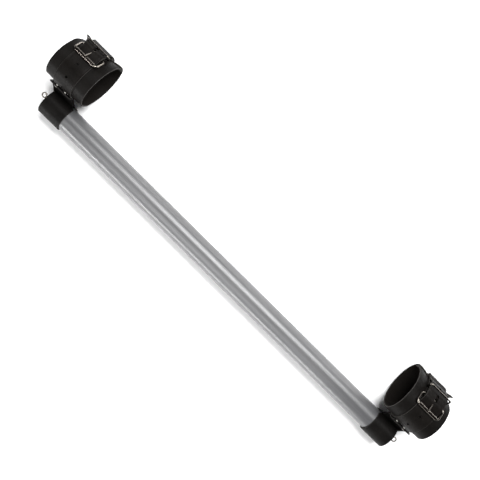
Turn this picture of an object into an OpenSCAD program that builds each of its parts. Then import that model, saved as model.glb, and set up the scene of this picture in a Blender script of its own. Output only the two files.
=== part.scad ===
// Rigid bar with a buckled leather cuff on a swivelling leather collar at each end.
// The bar lies on the ground along X, with both cuffs beside it on the +Y side.
// The origin is on the ground, under the middle of the whole object.

/* [Tube] */
// Outside diameter of the tube
tube_d = 38.1; // [34:0.1:42]
// Wall thickness of the tube
tube_wall = 3.2; // [2:0.1:5]
// Distance from the middle of the bar to the outer face of each collar
bar_half = 370; // [250:1:450]

/* [Collar] */
// Thickness of the collar's leather
collar_t = 2.2; // [1.8:0.1:2.6]
// Length of the collar's sleeve along the bar
sleeve_len = 41; // [34:1:50]
// Thickness of the leather disc that closes the sleeve
cap_t = 2.5; // [2:0.1:3]
// Length of the flange under the cuff, along the bar
flange_len = 41; // [36:1:46]
// How far the flange stands out beyond the sleeve's outer face
flange_out = 13; // [6:1:14]
// Thickness of the pinched neck between the sleeve and the flange
neck_t = 4.6; // [3.6:0.1:6]
// Distance from the bar's axis to the cuff's axis
reach = 73.2; // [72:0.1:76]

/* [Cuff] */
// Width of the cuff band along the bar
cuff_w = 71; // [64:1:74]
// Distance from the middle of the bar to the middle of the cuff
cuff_x = 356.5; // [250:0.5:450]
// Half of the cuff's longer outside diameter
cuff_a = 44; // [43:0.1:45]
// Half of the cuff's shorter outside diameter
cuff_b = 36.8; // [36:0.1:38]
// Angle of the shorter diameter above the ground, in degrees
squash_angle = 36; // [30:1:42]
// Thickness of the band's leather
band_t = 2.4; // [2:0.1:2.8]

/* [Straps] */
// Width of both straps
strap_w = 35; // [32:0.5:36]
// Offset of the straps from the middle of the cuff, away from the bar
strap_off = 1; // [0:0.5:3]
// Thickness of the long strap with the holes
billet_t = 2.2; // [1.8:0.1:2.4]
// Thickness of the strap that holds the buckle
chape_t = 1.6; // [1.4:0.1:1.8]
// Radius of the punched holes
hole_r = 2; // [1.6:0.1:2.2]
// Angle between the punched holes, in degrees around the cuff
hole_pitch = 35; // [30:1:38]

/* [Buckle] */
// Radius of the buckle frame's wire
wire_r = 1.6; // [1.4:0.1:1.7]
// Inside width of the buckle frame
frame_w = 39.6; // [38:0.1:42]
// Length of the buckle frame between the middles of its cross bars
frame_len = 18.5; // [18.4:0.1:19]
// Outside radius of the roller
roller_r = 2.8; // [2.4:0.1:3]
// Length of the roller
roller_len = 34.6; // [30:0.1:35]
// Radius of the prong
prong_r = 1.25; // [1:0.05:1.4]
// Radius of the keeper's wire
keeper_r = 1.3; // [1:0.1:1.4]
// Height of the keeper between the middles of its long bars
keeper_h = 10.2; // [10:0.1:12]
// Angle of the left buckle's heel bar, in degrees around the cuff
left_heel = 8; // [6:1:30]
// Angle of the right buckle's heel bar, in degrees around the cuff
right_heel = 26; // [6:1:30]
// Lean of the left keeper towards its buckle, in degrees
left_keeper_lean = 44; // [-20:1:45]
// Lean of the right keeper towards its buckle, in degrees
right_keeper_lean = 2; // [-20:1:45]

/* [Fasteners] */
// Radius of the neck rivets' shanks
rivet_r = 2; // [1.5:0.1:2.2]
// Distance between neighbouring neck rivets along the bar
rivet_pitch = 16; // [14:0.5:18]
// Radius of the round washers under the cuff
washer_r = 6.5; // [5.5:0.1:7]
// Radius of the screw eye's wire
eye_wire_r = 1.1; // [0.9:0.1:1.3]
// Radius of the hole in the screw eye
eye_hole_r = 2.7; // [2.4:0.1:3]
// Lean of the screw eye's ring towards the cuff, in degrees
eye_lean = 16; // [0:1:20]

/* [Hidden] */
$fn = 64;
LEFT = 0;
RIGHT = 1;

LEATHER = [0.09, 0.085, 0.08];
NICKEL = [0.78, 0.76, 0.72];

gap = 0.05;                              // close fit between pieces that don't move apart
run = 0.08;                              // radial clearance of a running fit
tube_r = tube_d / 2;
bore_r = tube_r - tube_wall;
collar_r = tube_r + gap + collar_t;
tube_half = bar_half - cap_t - 2 * gap;
plug_len = 30;

// Places of the layers over the band, as heights above its outer face
lay = 0.15;                              // looseness between two layers of leather
heel_h = lay + chape_t + 0.15 + wire_r;  // middle of the buckle's heel bar
fold_r = wire_r + 0.15;                  // inside of the fold round the heel bar
roller_h = 3 * lay + billet_t + roller_r;
keeper_bar_h = lay + chape_t + lay + keeper_r;
over_heel_h = heel_h + fold_r + chape_t + 0.1;
over_keeper_h = keeper_bar_h + keeper_r + chape_t + 2 * lay;
overlap_h = band_t + lay;                // rise of the band where its ends overlap
washer_t = 1;
washer_h = lay + billet_t + gap;
flange_h = washer_h + washer_t + 0.5;

// Angles round the cuff, from its shorter half-diameter on the buckle's side
roller_step = 22.7;                      // from the heel bar to the roller
keeper_step = 16;                        // from the heel bar to the keeper's inner bar
seam_step = 27;                          // from the heel bar to the rivets of the fold
fold_end = 33;                           // from the heel bar to the end of the folded ply
tail_step = 75;                          // from the heel bar to the strap's tip
first_hole = 42;                         // from the heel bar to the next free hole
inner_end = -55;                         // end of the band's inner ply
outer_end = -33;                         // end of the band's outer ply
rivet_step = 13.5;                       // from the neck to each row of rivets
flange_step = 23;                        // from the neck to each edge of the flange

// Half of the cuff's size along Y and Z, as it lies
half_y = norm([cuff_b * cos(squash_angle), cuff_a * sin(squash_angle)]);
half_z = norm([cuff_b * sin(squash_angle), cuff_a * cos(squash_angle)]);
// The strap round the cuff rests on the same ground as the collars
cuff_rise = half_z + lay + chape_t + gap - collar_r;
lean = asin(cuff_rise / reach);
cuff_far = reach * cos(lean) + half_y + overlap_h + chape_t + billet_t + 2 * lay;
axis_y = -(cuff_far - collar_r) / 2;
axis_z = collar_r;
towards_bar = 180 + lean - squash_angle;
neck_t0 = atan2(sin(towards_bar) / cuff_a, cos(towards_bar) / cuff_b);
flange_x = bar_half + flange_out - flange_len / 2 - cuff_x;

function heel(s) = s == LEFT ? left_heel : right_heel;
function keeper_lean(s) = s == LEFT ? left_keeper_lean : right_keeper_lean;
function ease(x) = let (c = min(1, max(0, x))) c * c * (3 - 2 * c);
function blend(a, b, x) = a + (b - a) * ease(x);
function steps(a, b, n) = [for (i = [0:n]) a + (b - a) * i / n];

// A point at a height above the cuff's outer face, and the direction of the face there
function facing(t) = atan2(sin(t) / cuff_a, cos(t) / cuff_b);
function over(t, h) = [cuff_b * cos(t) + h * cos(facing(t)), cuff_a * sin(t) + h * sin(facing(t))];

// Heights of the inner face of each layer
function band_h(t) = blend(0, overlap_h, (t - 250) / 45) - band_t;
function chape_h(t) = t < outer_end ? blend(0, overlap_h, (t + 110) / 45) + lay
                                    : blend(overlap_h + lay, lay, (t - outer_end) / 12);
function fold_h(t, s) = let (back = heel(s) - t, flat = chape_h(t) + chape_t + lay)
    back < keeper_step ? blend(heel_h + fold_r, keeper_bar_h + keeper_r + lay / 2, (back - 2) / 10)
    : blend(keeper_bar_h + keeper_r + lay / 2, flat, (back - keeper_step - 2) / 6);
function billet_h(t, s) = let (back = heel(s) - t)
    back < 0 ? blend(over_heel_h, lay, (-back - 1) / 18.5)
    : back < 27 ? blend(over_heel_h, over_keeper_h, (back - 2) / 18)
    : blend(over_keeper_h, chape_h(t) + chape_t + lay, (back - 28) / 16);

// Outline of a ply between two heights along a run of angles
function ply(ts, low, thick) = concat([for (i = [0:len(ts) - 1]) over(ts[i], low[i])],
    [for (i = [len(ts) - 1:-1:0]) over(ts[i], low[i] + thick)]);

// Frames: one end of the bar, the cuff, a spot on the cuff, and the buckle's heel bar
module at_end(s) {
    translate([0, axis_y, axis_z]) mirror([1 - s, 0, 0]) children();
}
module at_cuff(s) {
    at_end(s) rotate([lean, 0, 0]) translate([cuff_x, reach, 0])
        rotate([squash_angle - lean, 0, 0]) children();
}
module on_band(t, x = 0, h = 0) {
    translate([x, over(t, h)[0], over(t, h)[1]]) rotate([facing(t) - 90, 0, 0]) children();
}
function heel_mid(s) = over(heel(s), heel_h);
function frame_turn(s) = let (d = over(heel(s) + roller_step, roller_h) - heel_mid(s)) atan2(d[1], d[0]) + 180;
module at_buckle(s) {
    at_cuff(s) translate([strap_off, heel_mid(s)[0], heel_mid(s)[1]])
        rotate([frame_turn(s), 0, 0]) children();
}

module along_x(x0, w) {
    translate([x0, 0, 0]) rotate([90, 0, 90]) linear_extrude(w) children();
}
module rod_x(r, len) {
    rotate([0, 90, 0]) cylinder(h = len, r = r, center = true);
}
// Closed rectangular loop of wire in the XY plane, from y = 0 to y = depth
module wire_loop(width, depth, r, corner) {
    for (side = [0, 1]) translate([0, side * depth, 0]) rod_x(r, width - 2 * corner);
    for (side = [-1, 1]) translate([side * width / 2, depth / 2, 0])
        rotate([90, 0, 0]) cylinder(h = depth - 2 * corner, r = r, center = true);
    for (i = [0:3]) translate([(i == 0 || i == 3 ? 1 : -1) * (width / 2 - corner),
                               i < 2 ? depth - corner : corner, 0])
        rotate([0, 0, 90 * i]) rotate_extrude(angle = 90) translate([corner, 0]) circle(r = r, $fn = 32);
}
module neck_rivet_places(row) {
    for (side = [-1, 1]) on_band(neck_t0 + row * rivet_step, flange_x + side * rivet_pitch / 2) children();
}
module neck_rivet_holes(row) {
    neck_rivet_places(row) cylinder(h = 30, r = rivet_r + gap, center = true);
}

module tube() {
    color([0.8, 0.82, 0.84, 0.6]) translate([0, axis_y, axis_z]) difference() {
        rod_x(tube_r, 2 * tube_half);
        rod_x(bore_r, 2 * tube_half + 2);
    }
}

module end_plug(s) {
    color("burlywood") at_end(s) difference() {
        translate([tube_half - plug_len / 2, 0, 0]) rod_x(bore_r - gap, plug_len);
        translate([tube_half, 0, 0]) rod_x(1.5, 44);
    }
}

module eye_washer(s) {
    color(NICKEL) at_end(s) translate([bar_half + gap + 0.4, 0, 0]) difference() {
        rod_x(7, 0.8);
        rod_x(1.6, 2);
    }
}

module screw_eye(s) {
    neck_x = bar_half + gap + 0.85;
    ring_r = eye_hole_r + eye_wire_r - 0.15;
    foot_t = 1.2;
    stem = 4.8;
    color(NICKEL) at_end(s) {
        translate([neck_x - 9.75, 0, 0]) rod_x(1.48, 20.5);
        translate([neck_x + foot_t / 2, 0, 0]) rod_x(2.6, foot_t);
        rotate([lean, 0, 0]) translate([neck_x + foot_t / 2, 0, 0]) rotate([0, 0, eye_lean]) {
            rotate([0, 90, 0]) cylinder(h = stem + foot_t / 2, r1 = 1.7, r2 = 0.9);
            translate([stem + foot_t / 2 - 0.3 + ring_r, 0, 0]) rotate_extrude() intersection() {
                translate([ring_r, 0]) circle(r = eye_wire_r, $fn = 40);
                translate([eye_hole_r, -5]) square([10, 10]);
            }
        }
    }
}

module flange_outline() {
    round_r = 6;
    half_l = flange_len / 2;
    half_w = 18.5;
    translate([-half_l + round_r, -half_w]) square([flange_len - 2 * round_r, 2 * half_w]);
    translate([-half_l, -half_w + round_r]) square([flange_len, 2 * (half_w - round_r)]);
    for (x = [-1, 1], y = [-1, 1])
        translate([x * (half_l - round_r), y * (half_w - round_r)]) circle(r = round_r);
}

module collar(s) {
    sleeve_x = bar_half - sleeve_len;
    wing = steps(neck_t0 - flange_step, neck_t0 + flange_step, 16);
    neck_top = reach - norm(over(neck_t0, flange_h + collar_t / 2));
    inset = 0.6;
    flange_end = bar_half + flange_out - inset;
    flange_start = bar_half + flange_out - flange_len + inset;
    color(LEATHER) difference() {
        union() {
            at_end(s) rotate([lean, 0, 0]) {
                translate([sleeve_x + sleeve_len / 2, 0, 0]) rod_x(collar_r, sleeve_len);
                translate([0, 0, -neck_t / 2]) linear_extrude(neck_t)
                    polygon([[sleeve_x + 5, 0], [bar_half - inset, 0], [bar_half - inset, collar_r - 4],
                             [flange_end, neck_top - 2], [flange_end, neck_top],
                             [flange_start, neck_top], [sleeve_x + 5, collar_r - 1]]);
            }
            at_cuff(s) intersection() {
                along_x(flange_x - flange_len / 2, flange_len)
                    polygon(ply(wing, [for (t = wing) flange_h], collar_t));
                on_band(neck_t0, flange_x) linear_extrude(30, center = true) flange_outline();
            }
        }
        at_end(s) translate([bar_half, 0, 0]) rod_x(tube_r + gap, 2 * sleeve_len + 10);
        at_cuff(s) for (row = [-1, 1]) neck_rivet_holes(row);
    }
}

module collar_cap(s) {
    color(LEATHER) at_end(s) translate([bar_half - cap_t / 2, 0, 0]) difference() {
        rod_x(tube_r + gap / 2, cap_t);
        rod_x(1.6, 2 * cap_t);
    }
}

module cuff_band(s) {
    taper_top = -8;
    full = steps(taper_top, 360 + outer_end, 84);
    tongue = steps(inner_end, taper_top, 14);
    color(LEATHER) at_cuff(s) difference() {
        union() {
            along_x(-cuff_w / 2, cuff_w) polygon(ply(full, [for (t = full) band_h(t)], band_t));
            intersection() {
                along_x(-cuff_w / 2, cuff_w) polygon(ply(tongue, [for (t = tongue) -band_t], band_t));
                rotate([90, 0, 0]) linear_extrude(200, center = true)
                    polygon([[-cuff_w / 2, 0], [cuff_w / 2, 0], [cuff_w / 2, cuff_a * sin(taper_top) - 2],
                             [cuff_w / 2 - 4, cuff_a * sin(-22)], [cuff_w / 2 - 11, cuff_a * sin(-36)],
                             [cuff_w / 2 - 14, -60], [-cuff_w / 2, -60]]);
            }
        }
        for (row = [-1, 1]) neck_rivet_holes(row);
    }
}

// The strap comes round the back, turns round the heel bar and runs back over itself
function chape_outline(s) = let (
        under = steps(neck_t0 + 1 - 360, heel(s), 70),
        back = steps(heel(s), neck_t0 + 1 - 360, 70),
        top = steps(heel(s), heel(s) - fold_end, 30),
        underside = steps(heel(s) - fold_end, heel(s), 30),
        mid = heel_mid(s),
        turn = facing(heel(s)))
    concat([for (t = under) over(t, chape_h(t))],
           [for (a = steps(165, 15, 10)) mid + (fold_r + chape_t) * [cos(turn + a), sin(turn + a)]],
           [for (t = top) over(t, fold_h(t, s) + chape_t)],
           [for (t = underside) over(t, fold_h(t, s))],
           [for (a = steps(15, 165, 10)) mid + fold_r * [cos(turn + a), sin(turn + a)]],
           [for (t = back) over(t, chape_h(t) + chape_t)]);

module chape_strap(s) {
    color(LEATHER) difference() {
        at_cuff(s) along_x(strap_off - strap_w / 2, strap_w) polygon(chape_outline(s));
        at_buckle(s) translate([-2.1, -5, -10]) cube([4.2, 10, 20]);
        at_cuff(s) {
            neck_rivet_holes(1);
            for (side = [-1, 1]) on_band(heel(s) - seam_step, strap_off + side * 9)
                cylinder(h = 30, r = 1.4 + gap, center = true);
        }
    }
}

module billet_strap(s) {
    tip = heel(s) - tail_step;
    path = steps(tip, neck_t0 - 1, 84);
    color(LEATHER) difference() {
        at_cuff(s) along_x(strap_off - strap_w / 2, strap_w)
            polygon(ply(path, [for (t = path) billet_h(t, s)], billet_t));
        at_buckle(s) translate([-2.2, -10.5, -10]) cube([4.4, 14.1, 30]);
        at_cuff(s) {
            neck_rivet_holes(-1);
            for (i = [-2, 0, 1, 2]) on_band(heel(s) + first_hole + i * hole_pitch, strap_off)
                cylinder(h = 30, r = hole_r, center = true);
            for (side = [-1, 1]) on_band(tip, strap_off + side * strap_w / 2)
                rotate([0, 0, 45]) cube([10, 10, 30], center = true);
        }
    }
}

module neck_washers(s) {
    color(NICKEL) at_cuff(s) for (row = [-1, 1]) neck_rivet_places(row)
        translate([0, 0, washer_h]) difference() {
            cylinder(h = washer_t, r = washer_r);
            translate([0, 0, -1]) cylinder(h = 4, r = rivet_r + gap);
        }
}

module neck_rivets(s) {
    head_t = 1.1;
    inner = -band_t - 0.45;
    outer = flange_h + collar_t + gap;
    color(NICKEL) at_cuff(s) for (row = [-1, 1]) neck_rivet_places(row) {
        translate([0, 0, inner - head_t]) cylinder(h = outer - inner + 2 * head_t, r = rivet_r);
        translate([0, 0, inner - head_t]) cylinder(h = head_t, r1 = 3, r2 = 4.6);
        translate([0, 0, outer]) cylinder(h = head_t, r1 = 4.6, r2 = 3);
    }
}

module chape_rivets(s) {
    post = 2 * chape_t + lay + 2 * gap;
    color(NICKEL) at_cuff(s) for (side = [-1, 1])
        on_band(heel(s) - seam_step, strap_off + side * 9, lay) {
            cylinder(h = post + 0.5, r = 1.4);
            translate([0, 0, post]) cylinder(h = 0.9, r1 = 2.4, r2 = 1.8);
        }
}

module buckle_frame(s) {
    color(NICKEL) at_buckle(s) rotate([180, 0, 0])
        wire_loop(frame_w + 2 * wire_r, frame_len, wire_r, 4);
}

module buckle_roller(s) {
    color(NICKEL) at_buckle(s) translate([0, -frame_len, 0]) difference() {
        rod_x(roller_r, roller_len);
        rod_x(wire_r + run, roller_len + 2);
    }
}

module buckle_prong(s) {
    ring_r = 3;
    root = [-2.3, 2];
    tip = [-frame_len - 1.5, roller_r + prong_r + 0.4];
    run_len = norm(tip - root);
    color(NICKEL) at_buckle(s) difference() {
        union() {
            rod_x(ring_r, 3.2);
            translate([0, root[0], root[1]]) rotate([90 - atan2(tip[1] - root[1], root[0] - tip[0]), 0, 0]) {
                cylinder(h = run_len, r = prong_r);
                translate([0, 0, run_len]) sphere(r = prong_r);
            }
        }
        rod_x(wire_r + run, 10);
    }
}

module strap_keeper(s) {
    color(NICKEL) at_cuff(s) on_band(heel(s) - keeper_step, strap_off, keeper_bar_h)
        rotate([90 + keeper_lean(s), 0, 0]) wire_loop(strap_w + 2.5 + 2 * keeper_r, keeper_h, keeper_r, 2.4);
}

tube();
end_plug(LEFT);  // end_plug_left
end_plug(RIGHT);  // end_plug_right
eye_washer(LEFT);  // eye_washer_left
eye_washer(RIGHT);  // eye_washer_right
screw_eye(LEFT);  // screw_eye_left
screw_eye(RIGHT);  // screw_eye_right
collar(LEFT);  // collar_left
collar(RIGHT);  // collar_right
collar_cap(LEFT);  // collar_cap_left
collar_cap(RIGHT);  // collar_cap_right
cuff_band(LEFT);  // cuff_band_left
cuff_band(RIGHT);  // cuff_band_right
chape_strap(LEFT);  // chape_strap_left
chape_strap(RIGHT);  // chape_strap_right
billet_strap(LEFT);  // billet_strap_left
billet_strap(RIGHT);  // billet_strap_right
neck_washers(LEFT);  // neck_washers_left
neck_washers(RIGHT);  // neck_washers_right
neck_rivets(LEFT);  // neck_rivets_left
neck_rivets(RIGHT);  // neck_rivets_right
chape_rivets(LEFT);  // chape_rivets_left
chape_rivets(RIGHT);  // chape_rivets_right
buckle_frame(LEFT);  // buckle_frame_left
buckle_frame(RIGHT);  // buckle_frame_right
buckle_roller(LEFT);  // buckle_roller_left
buckle_roller(RIGHT);  // buckle_roller_right
buckle_prong(LEFT);  // buckle_prong_left
buckle_prong(RIGHT);  // buckle_prong_right
strap_keeper(LEFT);  // strap_keeper_left
strap_keeper(RIGHT);  // strap_keeper_right
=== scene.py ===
"""Looks for the rigid bar with two buckled leather cuffs.

Shapes are drawn in millimetres, and world() turns them into metres in the row frame. Angles round a
cuff are degrees from its shorter half-diameter on the far side, over the top towards the bar.
"""
import math

import bmesh
import bpy
import numpy as np
from mathutils import Matrix, Vector, noise

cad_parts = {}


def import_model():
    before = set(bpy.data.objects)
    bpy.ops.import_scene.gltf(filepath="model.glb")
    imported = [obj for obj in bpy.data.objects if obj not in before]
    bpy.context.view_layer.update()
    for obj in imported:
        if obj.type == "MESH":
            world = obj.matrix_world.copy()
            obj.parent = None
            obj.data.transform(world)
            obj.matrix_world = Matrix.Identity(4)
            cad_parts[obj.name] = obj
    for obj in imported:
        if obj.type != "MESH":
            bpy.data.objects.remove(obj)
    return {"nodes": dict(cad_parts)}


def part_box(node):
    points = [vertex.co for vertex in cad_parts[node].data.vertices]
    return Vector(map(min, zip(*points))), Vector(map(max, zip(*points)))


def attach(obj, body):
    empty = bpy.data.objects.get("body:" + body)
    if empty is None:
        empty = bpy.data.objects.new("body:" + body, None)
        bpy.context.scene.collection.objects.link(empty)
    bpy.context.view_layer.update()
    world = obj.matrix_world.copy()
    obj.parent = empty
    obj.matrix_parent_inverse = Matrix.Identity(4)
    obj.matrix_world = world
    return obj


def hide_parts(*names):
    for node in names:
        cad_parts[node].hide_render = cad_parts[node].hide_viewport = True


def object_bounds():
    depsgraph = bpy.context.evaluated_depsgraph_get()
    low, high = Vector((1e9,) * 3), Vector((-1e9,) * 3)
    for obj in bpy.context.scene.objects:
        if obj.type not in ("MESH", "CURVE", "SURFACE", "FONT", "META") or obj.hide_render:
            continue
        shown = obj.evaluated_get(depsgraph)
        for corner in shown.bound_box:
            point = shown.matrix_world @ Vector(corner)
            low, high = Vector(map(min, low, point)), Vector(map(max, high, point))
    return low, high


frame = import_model()
cad_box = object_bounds()
MM = 0.001
SIDES = {"left": -1, "right": 1}


def middle(node):
    low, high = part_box(node)
    return (low + high) / (2 * MM)


def extent(node):
    low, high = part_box(node)
    return (high - low) / MM


# ---- Driving dimensions, the same design as the frame's solids ----
AXIS_Y, AXIS_Z = middle("tube").y, middle("tube").z      # the bar's axis in the row frame
TUBE_R = extent("tube").y / 2
BAR_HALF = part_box("collar_cap_right")[1].x / MM          # outer face of the collar
SLEEVE_LEN = 41
CAP_T = extent("collar_cap_right").x
COLLAR_T = 2.2
TUBE_WALL = 3.2
RUN = 0.2                                                # room between the tube and the sleeve
FLANGE_OUT = 13                                          # the flange beyond the sleeve's outer face
REACH = 73.2                                             # from the bar's axis to the cuff's
CUFF_W = extent("cuff_band_left").x
CUFF_X = middle("cuff_band_right").x
CUFF_A, CUFF_B = 44.0, 36.8                              # half of the band's outside diameters
SQUASH = math.radians(36)                                # the shorter diameter above the ground
BAND_T, BILLET_T, CHAPE_T = 2.4, 2.2, 1.6
STRAP_W = extent("billet_strap_left").x
STRAP_X = middle("billet_strap_right").x - CUFF_X
HEEL = {"left": 8, "right": 26}                          # place of the buckle's heel bar
FIRST_HOLE, HOLE_PITCH, HOLE_R = 42, 35, 2.0             # from the heel bar; both in degrees
HOLES = (-2, 0, 1, 2)                                    # in pitches from the first hole
WIRE_R = 1.6
KEEPER_R = 1.3

# Heights over the band's outer face
LAY = 0.15                                               # looseness between two plies
OVERLAP_H = BAND_T + LAY
FOLD_R = WIRE_R + LAY
HEEL_H = LAY + CHAPE_T + FOLD_R
KEEPER_BAR_H = 3.2
OVER_HEEL_H = HEEL_H + FOLD_R + CHAPE_T + 0.1
OVER_KEEPER_H = KEEPER_BAR_H + KEEPER_R + CHAPE_T + 2 * LAY
FLANGE_H = 3.9

# Where plies begin, end and change height, in degrees round the cuff
OUTER_END, INNER_END = -33, -55
BAND_RISE, CHAPE_RISE, RISE_SPAN = 250, -110, 45         # the climb over the band's first turn
LEDGE_SPAN = 12                                          # the step down at the band's outer end
KEEPER_STEP, FOLD_END, TAIL_STEP = 16, 33, 75            # back from the heel bar
BAR_SPAN = 2                                             # flat stretch over a bar
FOLD_DROP, FOLD_CLOSE = 10, 6
NOSE_START, NOSE_SPAN = 1, 18.5                          # the billet coming down in front of the heel bar
ARCH_END, ARCH_SPAN, TAIL_DROP, TAIL_SPAN = 27, 18, 28, 16
NECK_HALF, FLANGE_STEP = 4.5, 23                         # the flange on each side of the neck

FLARE, TAPER = 2.8, 4.0                                  # on the far side: wider mouth, closer outer rim
CORNER_LIFT = {"left": 6.0, "right": 6.5}                # curl of the band's free corner

HALF_Z = math.hypot(CUFF_B * math.sin(SQUASH), CUFF_A * math.cos(SQUASH))
LEAN = math.asin((HALF_Z + LAY + CHAPE_T + 0.05 - AXIS_Z) / REACH)


def facing(t):
    """Direction of the cuff's outer face at an angle round it, in degrees both ways."""
    a = math.radians(t)
    return math.degrees(math.atan2(math.sin(a) / CUFF_A, math.cos(a) / CUFF_B))


def over(t, h):
    """A point at a height over the cuff's outer face, in the cuff's own (y, z)."""
    a, n = math.radians(t), math.radians(facing(t))
    return np.array([CUFF_B * math.cos(a) + h * math.cos(n), CUFF_A * math.sin(a) + h * math.sin(n)])


TOWARDS_BAR = math.pi + LEAN - SQUASH
NECK_T = math.degrees(math.atan2(math.sin(TOWARDS_BAR) / CUFF_A, math.cos(TOWARDS_BAR) / CUFF_B))


def ease(x):
    """0 up to 0, 1 from 1 on, and a smooth S between."""
    c = min(1.0, max(0.0, x))
    return c * c * (3 - 2 * c)


def mix(a, b, x):
    return a + (b - a) * ease(x)


def band_h(t):
    """Height of the band's inner face at an angle; the other functions give their ply's inner face too."""
    return mix(0, OVERLAP_H, (t - BAND_RISE) / RISE_SPAN) - BAND_T


def chape_h(t):
    if t < OUTER_END:
        return mix(0, OVERLAP_H, (t - CHAPE_RISE) / RISE_SPAN) + LAY
    return mix(OVERLAP_H + LAY, LAY, (t - OUTER_END) / LEDGE_SPAN)


def fold_h(t, side):
    """The chape's second ply, from the heel bar over the keeper's bar down to the first ply."""
    back, flat = HEEL[side] - t, chape_h(t) + CHAPE_T + LAY
    over_bar = KEEPER_BAR_H + KEEPER_R + LAY / 2
    if back < KEEPER_STEP:
        return mix(HEEL_H + FOLD_R, over_bar, (back - BAR_SPAN) / FOLD_DROP)
    return mix(over_bar, flat, (back - KEEPER_STEP - BAR_SPAN) / FOLD_CLOSE)


def billet_h(t, side):
    back = HEEL[side] - t
    if back < 0:
        return mix(OVER_HEEL_H, LAY, (-back - NOSE_START) / NOSE_SPAN)
    if back < ARCH_END:
        return mix(OVER_HEEL_H, OVER_KEEPER_H, (back - BAR_SPAN) / ARCH_SPAN)
    return mix(OVER_KEEPER_H, chape_h(t) + CHAPE_T + LAY, (back - TAIL_DROP) / TAIL_SPAN)


# ---- Frames: from a local (x, y, z) in millimetres to the row frame in metres ----
def turn_x(angle):
    return Matrix.Rotation(angle, 4, "X")


def end_frame(side):
    """One end of the bar: x outwards along the bar, y towards the cuff, z across."""
    flip = Matrix.Diagonal((SIDES[side], 1, 1, 1))
    return Matrix.Translation((0, AXIS_Y, AXIS_Z)) @ flip @ turn_x(LEAN)


def cuff_frame(side):
    return end_frame(side) @ Matrix.Translation((CUFF_X, REACH, 0)) @ turn_x(SQUASH - LEAN)


def world(matrix, point):
    return (matrix @ Vector(point)) * MM


# ---- Mesh builders ----
GROOVE_IN, GROOVE_W = 2.3, 0.35                          # pressed line along a strap's edge
CORNER_STEPS = 4
END_ANGLES = [math.radians(a) for a in (90, 60, 30)]     # rounding of a strip's two ends
SLOW_RIPPLE, FAST_RIPPLE = 0.045, 0.2                    # per millimetre
UV_TILE = 100                                            # millimetres to one unit of the UV map


def add_object(name, bm, material, smooth_angle=None):
    """Turns a bmesh into a smooth-shaded object, with sharp edges above an angle in degrees."""
    bmesh.ops.recalc_face_normals(bm, faces=bm.faces)
    mesh = bpy.data.meshes.new(name)
    bm.to_mesh(mesh)
    bm.free()
    mesh.shade_smooth()
    if smooth_angle:
        mesh.set_sharp_from_angle(angle=math.radians(smooth_angle))
    mesh.materials.append(material)
    obj = bpy.data.objects.new(name, mesh)
    bpy.context.scene.collection.objects.link(obj)
    return obj


def resample(points, step):
    """Points at even distances along a line, and those distances."""
    points = np.asarray(points, float)
    length = np.concatenate([[0], np.cumsum(np.linalg.norm(np.diff(points, axis=0), axis=1))])
    at = np.linspace(0, length[-1], int(round(length[-1] / step)) + 1)
    return np.column_stack([np.interp(at, length, points[:, k]) for k in (0, 1)]), at


def relax(points, rounds):
    """Smooths a line and keeps its two ends."""
    points = np.array(points, float)
    for _ in range(rounds):
        points[1:-1] += 0.25 * (points[:-2] + points[2:] - 2 * points[1:-1])
    return points


def across(width, rim, groove):
    """Distances from one edge at which the face of a strip has its points."""
    margin, spacing = 5.5, 3
    near = [rim, 1.4] + ([2.0, GROOVE_IN, 2.6, 3.4] if groove else [3.0]) + [margin]
    inner = np.linspace(margin, width - margin, int((width - 2 * margin) / spacing))[1:-1]
    return near + list(inner) + [width - d for d in reversed(near)]


def section(width, thick, rim, groove):
    """Closed outline of a strip's cross-section: (distance from the low edge, height, edge weight)."""
    half = thick / 2
    xs = across(width, rim, groove)

    def top(x):
        d = min(x, width - x)
        dip = groove * math.exp(-((d - GROOVE_IN) / GROOVE_W) ** 2) if groove else 0
        return half - dip

    def corner(cx, cz, a0, a1):
        angles = [a0 + (a1 - a0) * k / CORNER_STEPS for k in range(1, CORNER_STEPS)]
        return [(cx + rim * math.cos(a), cz + rim * math.sin(a), 1.0) for a in angles]

    q = math.pi / 2
    loop = [(x, top(x), 0.0) for x in xs]
    loop += corner(width - rim, half - rim, q, 0)
    loop += [(width, half - rim, 1.0), (width, 0, 1.0), (width, rim - half, 1.0)]
    loop += corner(width - rim, rim - half, 0, -q)
    loop += [(x, -half, 0.0) for x in reversed(xs)]
    loop += corner(rim, rim - half, -q, -2 * q)
    loop += [(0, rim - half, 1.0), (0, 0, 1.0), (0, half - rim, 1.0)]
    loop += corner(rim, half - rim, 2 * q, q)
    return loop


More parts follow.
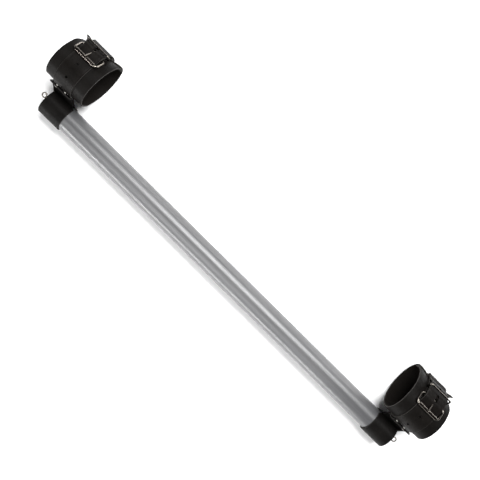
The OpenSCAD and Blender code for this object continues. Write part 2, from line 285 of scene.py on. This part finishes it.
def strip(name, matrix, spine, thick, edges, material, step, wobble, seed, rim=0.65, groove=0.0, lift=None):
    """A leather strip of that thickness along a middle line in the (y, z) plane. edges(s, length) gives
    its low and high x at a distance along it; lift(s, length, x, normal) raises it off its line."""
    line, at = resample(spine, step)
    length = at[-1]
    tangent = np.gradient(line, axis=0)
    tangent /= np.linalg.norm(tangent, axis=1)[:, None]
    normal = np.column_stack([tangent[:, 1], -tangent[:, 0]])
    low, high = edges(length / 2, length)
    width0 = high - low
    loop = section(width0, thick, rim, groove)
    ends = [(rim * (1 - math.sin(a)), rim * (1 - math.cos(a)), 1.0) for a in END_ANGLES]
    rows = ends + [(s, 0.0, 0.0) for s in at if rim * 1.2 < s < length - rim * 1.2]
    rows += [(length - s, inset, cap) for s, inset, cap in reversed(ends)]
    bm = bmesh.new()
    edge_layer = bm.verts.layers.float.new("edge")
    flesh_layer = bm.verts.layers.float.new("flesh")
    uv_layer = bm.loops.layers.uv.new("UVMap")
    place = {}
    verts = []
    for s, inset, cap in rows:
        y, z = (np.interp(s, at, line[:, k]) for k in (0, 1))
        n = np.array([np.interp(s, at, normal[:, k]) for k in (0, 1)])
        n /= np.linalg.norm(n)
        low, high = edges(s, length)
        row = []
        for d, h, weight in loop:
            x = low + inset + (high - low - 2 * inset) * d / width0
            ripple = noise.noise(Vector((x, y, z)) * SLOW_RIPPLE + Vector((seed, 0, 0)))
            ripple += 0.3 * noise.noise(Vector((x, y, z)) * FAST_RIPPLE + Vector((0, seed, 0)))
            raised = math.copysign(max(0.0, abs(h) - inset), h) + wobble * ripple
            raised += lift(s, length, x, n) if lift else 0.0
            v = bm.verts.new(world(matrix, (x, y + n[0] * raised, z + n[1] * raised)))
            v[edge_layer] = max(weight, cap)
            v[flesh_layer] = 1.0 if h < -0.9 * thick / 2 else 0.0
            place[v] = (x / UV_TILE, s / UV_TILE)
            row.append(v)
        verts.append(row)
    count = len(loop)
    for a, b in zip(verts, verts[1:]):
        for i in range(count):
            bm.faces.new((a[i], a[(i + 1) % count], b[(i + 1) % count], b[i]))
    bm.faces.new(verts[0])
    bm.faces.new(list(reversed(verts[-1])))
    for face in bm.faces:
        for face_loop in face.loops:
            face_loop[uv_layer].uv = place[face_loop.vert]
    return add_object(name, bm, material, smooth_angle=50)


def cut(obj, cutters):
    """Cuts holes in a finished mesh and leaves no modifier behind."""
    for cutter in cutters:
        modifier = obj.modifiers.new("hole", "BOOLEAN")
        modifier.operation = "DIFFERENCE"
        modifier.solver = "EXACT"
        modifier.object = cutter
    graph = bpy.context.evaluated_depsgraph_get()
    mesh = bpy.data.meshes.new_from_object(obj.evaluated_get(graph))
    obj.modifiers.clear()
    obj.data = mesh
    for cutter in cutters:
        bpy.data.objects.remove(cutter)
    return obj


def cutter_prism(matrix, outline, low, high):
    """A straight cutter: an outline in (x, y) of a local frame, from one height to another."""
    bm = bmesh.new()
    ring = [[bm.verts.new(world(matrix, (x, y, z))) for x, y in outline] for z in (low, high)]
    n = len(outline)
    for i in range(n):
        bm.faces.new((ring[0][i], ring[0][(i + 1) % n], ring[1][(i + 1) % n], ring[1][i]))
    bm.faces.new(list(reversed(ring[0])))
    bm.faces.new(ring[1])
    bmesh.ops.recalc_face_normals(bm, faces=bm.faces)
    mesh = bpy.data.meshes.new("cutter")
    bm.to_mesh(mesh)
    bm.free()
    obj = bpy.data.objects.new("cutter", mesh)
    bpy.context.scene.collection.objects.link(obj)
    return obj


def slot_outline(width, y0, y1):
    """A slot with round ends from y0 to y1."""
    r = width / 2
    upper = [(r * math.cos(a), y1 - r + r * math.sin(a)) for a in np.linspace(0, math.pi, 13)]
    lower = [(r * math.cos(a), y0 + r + r * math.sin(a)) for a in np.linspace(math.pi, 2 * math.pi, 13)]
    return upper + lower


def on_band(side, t, x, h=0.0):
    """A frame on the cuff's outer face: x along the bar, y round the cuff, z outwards."""
    y, z = over(t, h)
    return (cuff_frame(side) @ Matrix.Translation((x, y, z))
            @ turn_x(math.radians(facing(t)) - math.pi / 2))


def lathe(name, matrix, profile, material, segments, smooth_angle):
    """A turned piece about its local z: profile is (radius, height) from bottom to top."""
    bm = bmesh.new()
    rings = []
    for r, z in profile:
        angles = [2 * math.pi * k / segments for k in range(segments if r else 1)]
        rings.append([bm.verts.new(world(matrix, (r * math.cos(a), r * math.sin(a), z))) for a in angles])
    for a, b in zip(rings, rings[1:]):
        for k in range(segments):
            j = (k + 1) % segments
            corners = [a[k % len(a)], a[j % len(a)], b[j % len(b)], b[k % len(b)]]
            unique = list(dict.fromkeys(corners))
            if len(unique) > 2:
                bm.faces.new(unique)
    return add_object(name, bm, material, smooth_angle)


# ---- Materials ----
BLACK = (0.0040, 0.0035, 0.0031)
BROWN_BLACK = (0.0048, 0.0041, 0.0036)
COLLAR_BLACK = (0.0040, 0.0036, 0.0033)
# lighter rims: partly the dry cut edge's own colour, partly a painted highlight
CUT_EDGE_AND_HIGHLIGHT = (0.026, 0.024, 0.022)
FLESH = (0.0075, 0.0064, 0.0056)                         # the dull inner side of the leather
FROST = (0.115, 0.116, 0.121), (0.160, 0.160, 0.165)     # between the tube's lines and on them
FROST_PAINTED_END_SHADE = (0.065, 0.065, 0.068)                        # painted shade at the tube's ends, where the plugs sit inside it
END_SHADE_FROM, END_SHADE_TO = 0.24, 0.33                            # metres from the middle of the bar over which the painted shade comes in
DARK_WOOD, PALE_WOOD = (0.36, 0.22, 0.11), (0.58, 0.41, 0.23)


def new_material(name):
    material = bpy.data.materials.new(name)
    material.use_nodes = True
    tree = material.node_tree
    return material, tree, tree.nodes["Principled BSDF"]


def node(tree, kind, **values):
    """Adds a shader node; each value sets a property of that name, or else the socket of that name."""
    made = tree.nodes.new(kind)
    for key, value in values.items():
        if hasattr(made, key):
            setattr(made, key, value)
        else:
            made.inputs[key.replace("_", " ")].default_value = value
    return made


def noise_node(tree, coordinates, scale, detail=3.0, roughness=0.5):
    made = node(tree, "ShaderNodeTexNoise", Scale=scale, Detail=detail, Roughness=roughness)
    tree.links.new(coordinates, made.inputs["Vector"])
    return made.outputs["Fac"]


def ramp(tree, value, low, high, a, b):
    """a where the value is low, b where it is high."""
    made = node(tree, "ShaderNodeMapRange")
    tree.links.new(value, made.inputs["Value"])
    for key, number in (("From Min", low), ("From Max", high), ("To Min", a), ("To Max", b)):
        made.inputs[key].default_value = number
    return made.outputs["Result"]


def mix_colour(tree, factor, a, b):
    made = node(tree, "ShaderNodeMix", data_type="RGBA")
    tree.links.new(factor, made.inputs["Factor"])
    for key, colour in ((6, a), (7, b)):
        if isinstance(colour, tuple):
            made.inputs[key].default_value = (*colour, 1)
        else:
            tree.links.new(colour, made.inputs[key])
    return made.outputs[2]


def bump(tree, height, strength, distance, normal=None):
    made = node(tree, "ShaderNodeBump", Strength=strength, Distance=distance)
    tree.links.new(height, made.inputs["Height"])
    if normal:
        tree.links.new(normal, made.inputs["Normal"])
    return made.outputs["Normal"]


def tinted(tone, share):
    return tuple(share * c for c in tone)


def leather_material(name, tone, gloss, grain=1.0):
    """Smooth near-black leather: pebbled grain, creases, slow colour and gloss changes, a dull inner
    side, and lighter rims that are partly the dry cut edge's colour and partly a painted highlight."""
    material, tree, shader = new_material(name)
    place = node(tree, "ShaderNodeTexCoord").outputs["Object"]
    slow = noise_node(tree, place, 38, 4)
    fine = noise_node(tree, place, 1500, 2)
    cells = node(tree, "ShaderNodeTexVoronoi", Scale=850 * grain, feature="F1")
    tree.links.new(place, cells.inputs["Vector"])
    creases = noise_node(tree, place, 190, 6, 0.65)
    edge = node(tree, "ShaderNodeAttribute", attribute_name="edge").outputs["Fac"]
    face = mix_colour(tree, ramp(tree, slow, 0.3, 0.7, 0, 1), tinted(tone, 0.7), tinted(tone, 1.25))
    face = mix_colour(tree, ramp(tree, creases, 0.55, 0.75, 0, 0.35), face, tinted(tone, 2.0))
    flesh = node(tree, "ShaderNodeAttribute", attribute_name="flesh").outputs["Fac"]
    face = mix_colour(tree, ramp(tree, flesh, 0, 1, 0, 1), face, FLESH)
    # rims and cut sides painted lighter: the dry edge's own colour mixed with a painted highlight
    colour = mix_colour(tree, ramp(tree, edge, 0.3, 1, 0, 0.85), face, CUT_EDGE_AND_HIGHLIGHT)
    tree.links.new(colour, shader.inputs["Base Color"])
    rough = node(tree, "ShaderNodeMath", operation="ADD")
    tree.links.new(ramp(tree, creases, 0.3, 0.7, gloss, gloss + 0.12), rough.inputs[0])
    tree.links.new(ramp(tree, edge, 0, 1, 0, 0.15), rough.inputs[1])
    tree.links.new(rough.outputs[0], shader.inputs["Roughness"])
    first = bump(tree, cells.outputs["Distance"], 0.22, 0.00022)
    second = bump(tree, creases, 0.3, 0.0005, first)
    tree.links.new(bump(tree, fine, 0.12, 0.0001, second), shader.inputs["Normal"])
    shader.inputs["Specular IOR Level"].default_value = 0.048
    return material


def metal_material(name, tone, gloss):
    """Nickel plate: warm grey, slow gloss changes, fine handling scratches."""
    material, tree, shader = new_material(name)
    place = node(tree, "ShaderNodeTexCoord").outputs["Object"]
    slow = noise_node(tree, place, 120, 3)
    fine = noise_node(tree, place, 2600, 2, 0.6)
    tarnish = mix_colour(tree, ramp(tree, slow, 0.35, 0.75, 0, 1), tone, tinted(tone, 0.78))
    tree.links.new(tarnish, shader.inputs["Base Color"])
    tree.links.new(ramp(tree, fine, 0.3, 0.7, gloss, gloss + 0.1), shader.inputs["Roughness"])
    tree.links.new(bump(tree, fine, 0.05, 0.00008), shader.inputs["Normal"])
    shader.inputs["Metallic"].default_value = 1.0
    return material


def stretched(tree, place, share):
    """Coordinates squeezed along the bar, which draw a texture out into lines along it."""
    made = node(tree, "ShaderNodeMapping", Scale=(share, 1, 1))
    tree.links.new(place, made.inputs["Vector"])
    return made.outputs["Vector"]


def tube_material(name):
    """Frosted clear tube: rough inside and out, with faint lines along it from the extruder."""
    material, tree, shader = new_material(name)
    place = node(tree, "ShaderNodeTexCoord").outputs["Object"]
    lines = noise_node(tree, stretched(tree, place, 0.012), 420, 3, 0.6)
    cloud = noise_node(tree, place, 22, 3)
    tint = mix_colour(tree, ramp(tree, lines, 0.35, 0.65, 0, 1), *FROST)
    split = node(tree, "ShaderNodeSeparateXYZ")
    tree.links.new(place, split.inputs[0])
    along = node(tree, "ShaderNodeMath", operation="ABSOLUTE")
    tree.links.new(split.outputs["X"], along.inputs[0])
    # painted shade: the tube's colour darkens towards both ends of the bar
    tint = mix_colour(tree, ramp(tree, along.outputs[0], END_SHADE_FROM, END_SHADE_TO, 0, 0.6), tint, FROST_PAINTED_END_SHADE)
    tree.links.new(tint, shader.inputs["Base Color"])
    tree.links.new(ramp(tree, cloud, 0.3, 0.7, 0.30, 0.38), shader.inputs["Roughness"])
    tree.links.new(bump(tree, lines, 0.15, 0.0002), shader.inputs["Normal"])
    shader.inputs["Transmission Weight"].default_value = 0.40
    shader.inputs["IOR"].default_value = 1.49
    shader.inputs["Coat Weight"].default_value = 0.22
    shader.inputs["Coat Roughness"].default_value = 0.35
    return material


def wood_material(name):
    material, tree, shader = new_material(name)
    place = node(tree, "ShaderNodeTexCoord").outputs["Object"]
    grain = noise_node(tree, stretched(tree, place, 0.06), 480, 5, 0.65)
    colour = mix_colour(tree, ramp(tree, grain, 0.35, 0.65, 0, 1), DARK_WOOD, PALE_WOOD)
    tree.links.new(colour, shader.inputs["Base Color"])
    tree.links.new(bump(tree, grain, 0.25, 0.0003), shader.inputs["Normal"])
    shader.inputs["Roughness"].default_value = 0.55
    return material


BAND_LEATHER = leather_material("band_leather", BLACK, 0.40)
STRAP_LEATHER = leather_material("strap_leather", BROWN_BLACK, 0.36, 1.2)
COLLAR_LEATHER = leather_material("collar_leather", COLLAR_BLACK, 0.38)
NICKEL = metal_material("nickel", (0.16, 0.146, 0.128), 0.08)
DULL_NICKEL = metal_material("dull_nickel", (0.33, 0.318, 0.30), 0.20)
FROSTED = tube_material("frosted_tube")
WOOD = wood_material("plug_wood")


# ---- Camera ----
CAMERA_FROM_BAR = (-59.9, 55.9, 1048.2)                  # from the middle of the bar's axis
CAMERA_TILT = (("Z", -0.4), ("Y", 2.58), ("X", 0.06))    # degrees
CAMERA_ROLL = math.radians(44.33)
LENS, SENSOR = 50.84, 36


def make_camera():
    """A still camera nearly straight above, with the bar running down to the right of the picture."""
    place = (Vector((0, AXIS_Y, AXIS_Z)) + Vector(CAMERA_FROM_BAR)) * MM
    tilt = Matrix.Identity(3)
    for axis, angle in CAMERA_TILT:
        tilt = tilt @ Matrix.Rotation(math.radians(angle), 3, axis)
    along, across_bar, back = tilt
    right = along * math.cos(CAMERA_ROLL) + across_bar * math.sin(CAMERA_ROLL)
    up = across_bar * math.cos(CAMERA_ROLL) - along * math.sin(CAMERA_ROLL)
    data = bpy.data.cameras.new("camera")
    data.sensor_width = SENSOR
    data.lens = LENS
    data.clip_start, data.clip_end = 0.01, 50
    camera = bpy.data.objects.new("camera", data)
    camera.matrix_world = Matrix.Translation(place) @ Matrix((right, up, back)).transposed().to_4x4()
    bpy.context.scene.collection.objects.link(camera)
    bpy.context.scene.camera = camera


# ---- Leather pieces ----
BAND_TAPER, TAPER_RUN = 12, 45                           # the band's hidden inner end narrows
BAND_CORNER = 4                                          # rounding of the band's outer end
SHOULDER, POINT_IN = 9, 5.5                              # the billet's rounded tip
FLANGE_RUN, NECK_RUN, FLANGE_ROUND = 19, 12, 6           # along the collar's strip, from either end
PLY_GAP = 0.15                                           # half of the gap between the neck's two plies
CHAPE_SLOT_W, CHAPE_SLOT = 4.2, (-5, 5)                  # for the prong, round the heel bar
BILLET_SLOT_W, BILLET_SLOT = 4.4, (-3.6, 10.5)
CUT_DEPTH = (-10, 20)                                    # long enough to pass through every ply


def degrees(a, b, step=1.0):
    """Angles from a to b, about a step apart."""
    return np.linspace(a, b, int(abs(b - a) / step) + 1)


def keep(piece, body, node_name):
    """The piece rides on a body and stands in for a node, which is hidden."""
    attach(piece, body)
    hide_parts(node_name)
    return piece


def make_band(side):
    """The wide band: one strip that spirals once round and overlaps behind the buckle."""
    spine = [over(t, band_h(t) + BAND_T / 2 if t >= BAND_RISE else -BAND_T / 2)
             for t in degrees(INNER_END, 360 + OUTER_END)]

    def edges(s, length):
        taper = BAND_TAPER * ease(1 - s / TAPER_RUN)
        rounding = max(0.0, 1 - (length - s) / BAND_CORNER) ** 2
        return -CUFF_W / 2 + 0.6 * rounding, CUFF_W / 2 - taper - 0.24 * rounding

    def lift(s, length, x, normal):
        """Cone of the far side, and curl of the free outer corner."""
        away = max(0.0, math.cos(math.atan2(normal[1], normal[0]) + SQUASH))
        cone = FLARE * ease((-x - 15) / 18) - TAPER * ease((x - 12) / 21)
        corner = ease((x - 16) / 17) * ease(1 - (length - s) / 24)
        return cone * away ** 1.5 + CORNER_LIFT[side] * corner

    piece = strip(f"cuff_band_{side}_leather", cuff_frame(side), spine, BAND_T, edges, BAND_LEATHER,
                  step=1.3, wobble=0.45, lift=lift, seed=3.7 * SIDES[side])
    return keep(piece, f"cuff_{side}", f"cuff_band_{side}")


def strap_edges(s, length):
    return STRAP_X - STRAP_W / 2, STRAP_X + STRAP_W / 2


def prong_slot(side, width, reach):
    """Cutter for the slot that lets the prong through, at the heel bar."""
    return cutter_prism(on_band(side, HEEL[side], STRAP_X, HEEL_H), slot_outline(width, *reach), *CUT_DEPTH)


def make_chape(side):
    """The buckle strap: round the back of the cuff, over the heel bar and back under the keeper."""
    heel = HEEL[side]
    turn = math.radians(facing(heel))
    spine = [over(t, chape_h(t) + CHAPE_T / 2) for t in degrees(NECK_T + 1 - 360, heel)]
    hub = over(heel, HEEL_H)
    r = FOLD_R + CHAPE_T / 2
    spine += [hub + r * np.array([math.cos(turn + math.radians(a)), math.sin(turn + math.radians(a))])
              for a in range(165, 0, -15)]
    spine += [over(t, fold_h(t, side) + CHAPE_T / 2) for t in degrees(heel, heel - FOLD_END)]
    piece = strip(f"chape_strap_{side}_leather", cuff_frame(side), spine, CHAPE_T, strap_edges,
                  STRAP_LEATHER, rim=0.5, step=1.0, wobble=0.04, groove=0.12, seed=8.1)
    cut(piece, [prong_slot(side, CHAPE_SLOT_W, CHAPE_SLOT)])
    return keep(piece, f"cuff_{side}", f"chape_strap_{side}")


def make_billet(side):
    """The long strap: from the neck over the front, through the buckle and on past the keeper."""
    heel = HEEL[side]
    spine = [over(t, billet_h(t, side) + BILLET_T / 2) for t in degrees(heel - TAIL_STEP, NECK_T - 1)]

    def edges(s, length):
        inset = POINT_IN * (1 - math.sqrt(1 - max(0.0, 1 - s / SHOULDER) ** 2))
        low, high = strap_edges(s, length)
        return low + inset, high - inset

    piece = strip(f"billet_strap_{side}_leather", cuff_frame(side), spine, BILLET_T, edges,
                  STRAP_LEATHER, rim=0.6, step=1.1, wobble=0.06, groove=0.16, seed=5.3)
    circle = [(HOLE_R * math.cos(a), HOLE_R * math.sin(a)) for a in np.linspace(0, 2 * math.pi, 25)[:-1]]
    cutters = [cutter_prism(on_band(side, heel + FIRST_HOLE + i * HOLE_PITCH, STRAP_X), circle, -6, 12)
               for i in HOLES]
    cut(piece, cutters + [prong_slot(side, BILLET_SLOT_W, BILLET_SLOT)])
    return keep(piece, f"cuff_{side}", f"billet_strap_{side}")


def collar_spine():
    """Middle line of the collar's leather: flange, down one side of the neck, once round the tube and
    back up the other side to the other flange, in the end's (y, z) plane."""
    mid = COLLAR_T / 2
    to_end = turn_x(SQUASH - LEAN)

    def flange(t):
        y, z = over(t, FLANGE_H + mid)
        p = to_end @ Vector((0, y, z))
        return np.array([p.y + REACH, p.z])

    ply = mid + PLY_GAP
    ring = TUBE_R + RUN + mid
    open_angle = math.degrees(math.asin((ply + 0.2) / ring)) + 4
    neck_top, neck_foot = flange(NECK_T)[0] - 0.6, ring + 3
    front = [flange(t) for t in degrees(NECK_T - FLANGE_STEP, NECK_T - NECK_HALF)]
    back = [flange(t) for t in degrees(NECK_T + NECK_HALF, NECK_T + FLANGE_STEP)]
    points = front + [np.array([neck_top, ply]), np.array([neck_foot, ply])]
    for a in np.radians(degrees(open_angle, 360 - open_angle, 2)):
        points.append(ring * np.array([math.cos(a), math.sin(a)]))
    points += [np.array([neck_foot, -ply]), np.array([neck_top, -ply])] + back
    return relax(resample(points, 0.6)[0], 10)


def make_collar(side):
    """Sleeve, neck and flange in one strip, whose flange ends stand out beyond the sleeve's face."""
    def edges(s, length):
        end = min(s, length - s)
        shift = FLANGE_OUT * min(1.0, max(0.0, 1 - (end - FLANGE_RUN) / NECK_RUN))
        inset = FLANGE_ROUND - math.sqrt(FLANGE_ROUND ** 2 - max(0.0, FLANGE_ROUND - end) ** 2)
        grow = 0.5 * ease(1 - end / FLANGE_RUN)
        return BAR_HALF - SLEEVE_LEN + shift + inset - grow, BAR_HALF + shift - inset + grow

    piece = strip(f"collar_{side}_leather", end_frame(side), collar_spine(), COLLAR_T, edges,
                  COLLAR_LEATHER, rim=0.6, step=1.0, wobble=0.12, seed=11.0 * SIDES[side])
    return keep(piece, f"cuff_{side}", f"collar_{side}")


def along_bar(matrix, x):
    """A frame whose z runs along the x of that matrix, from x on."""
    return matrix @ Matrix.Translation((x, 0, 0)) @ Matrix.Rotation(math.pi / 2, 4, "Y")


def make_cap(side):
    """Leather disc let into the end of the collar, a little pulled in round the washer."""
    r, dent, dent_r, dent_w = TUBE_R + 0.02, 0.25, 8.5, 1.6
    profile = [(0, 0), (r - 0.5, 0), (r, 0.5), (r, CAP_T - 0.7), (r - 0.25, CAP_T - 0.22), (r - 0.8, CAP_T)]
    profile += [(x, CAP_T - dent * math.exp(-((x - dent_r) / dent_w) ** 2)) for x in np.linspace(16, 7, 14)]
    profile += [(5, CAP_T - 0.1), (0, CAP_T - 0.1)]
    piece = lathe(f"collar_cap_{side}_leather", along_bar(end_frame(side), BAR_HALF - CAP_T), profile,
                  COLLAR_LEATHER, segments=96, smooth_angle=60)
    return keep(piece, f"cuff_{side}", f"collar_cap_{side}")


def make_tube():
    """The tube with eased ends, turned about the bar's axis."""
    half, bore, ease_out, ease_in = extent("tube").x / 2, TUBE_R - TUBE_WALL, 0.4, 0.3
    rows = np.linspace(8 - half, half - 8, 60)
    profile = [(TUBE_R - ease_out, -half), (TUBE_R, ease_out - half)]
    profile += [(TUBE_R, x) for x in rows]
    profile += [(TUBE_R, half - ease_out), (TUBE_R - ease_out, half)]
    profile += [(bore + ease_in, half), (bore, half - ease_in)]
    profile += [(bore, -x) for x in rows]
    profile += [(bore, ease_in - half), (bore + ease_in, -half), profile[0]]
    matrix = along_bar(Matrix.Translation((0, AXIS_Y, AXIS_Z)), 0)
    piece = lathe("tube_frosted", matrix, profile, FROSTED, segments=128, smooth_angle=30)
    bm = bmesh.new()
    bm.from_mesh(piece.data)
    bmesh.ops.remove_doubles(bm, verts=bm.verts, dist=1e-7)
    bmesh.ops.recalc_face_normals(bm, faces=bm.faces)
    bm.to_mesh(piece.data)
    bm.free()
    return keep(piece, "bar", "tube")


def finish_metal():
    """The metal nodes keep their own shape and get their plating."""
    bright = ("buckle_frame", "buckle_roller", "buckle_prong", "strap_keeper", "screw_eye")
    dull = ("eye_washer", "neck_washers", "neck_rivets", "chape_rivets")
    for names, material in ((bright, NICKEL), (dull, DULL_NICKEL), (("end_plug",), WOOD)):
        for name in names:
            for side in SIDES:
                mesh = frame["nodes"][f"{name}_{side}"].data
                mesh.materials.clear()
                mesh.materials.append(material)


# ---- Floor and light ----
FLOOR_HALF = 1.5                                         # metres; past it shows the bright horizon
HORIZON, ZENITH = 0.95, 0.02                             # brightness of the surroundings
HORIZON_Z, ZENITH_Z = 0.05, 0.45                         # where one passes into the other
LIGHTS = (("top", (0.1, 0.95, 1.8), (1.4, 1.0), 80),     # place and size in metres, power in watts
          ("near", (-0.2, -1.9, 0.20), (2.2, 0.3), 46),
          ("fill", (-0.1, -1.1, 1.6), (1.4, 1.0), 24),
          ("far", (0.2, 1.8, 0.30), (2.0, 0.3), 14))


def make_stage():
    bm = bmesh.new()
    bmesh.ops.create_grid(bm, x_segments=1, y_segments=1, size=FLOOR_HALF)
    material, tree, shader = new_material("paper_floor")
    place = node(tree, "ShaderNodeTexCoord").outputs["Object"]
    tone = mix_colour(tree, noise_node(tree, place, 3, 2), (0.90, 0.90, 0.90), (0.93, 0.93, 0.93))
    tree.links.new(tone, shader.inputs["Base Color"])
    shader.inputs["Roughness"].default_value = 0.8
    floor = add_object("floor", bm, material)
    floor.location.z = cad_box[0].z - 0.0002


def area_light(name, place, size, power):
    """A soft rectangular light that looks at the middle of the floor."""
    data = bpy.data.lights.new(name, "AREA")
    data.energy = power
    data.shape = "RECTANGLE"
    data.size, data.size_y = size
    light = bpy.data.objects.new(name, data)
    light.location = place
    light.rotation_mode = "QUATERNION"
    light.rotation_quaternion = (-Vector(place)).to_track_quat("-Z", "Y")
    bpy.context.scene.collection.objects.link(light)


def make_lights():
    """Four soft lights in surroundings that are bright low down and dark overhead."""
    surroundings = bpy.data.worlds.new("studio")
    surroundings.use_nodes = True
    tree = surroundings.node_tree
    background = tree.nodes["Background"]
    background.inputs["Color"].default_value = (1, 1, 1, 1)
    direction = node(tree, "ShaderNodeTexCoord").outputs["Generated"]
    split = node(tree, "ShaderNodeSeparateXYZ")
    tree.links.new(direction, split.inputs[0])
    level = ramp(tree, split.outputs["Z"], HORIZON_Z, ZENITH_Z, HORIZON, ZENITH)
    tree.links.new(level, background.inputs["Strength"])
    bpy.context.scene.world = surroundings
    for light in LIGHTS:
        area_light(*light)
    bpy.context.scene.view_settings.view_transform = "Standard"


make_camera()
make_tube()
for side in SIDES:
    make_band(side)
    make_chape(side)
    make_billet(side)
    make_collar(side)
    make_cap(side)
finish_metal()
make_stage()
make_lights()
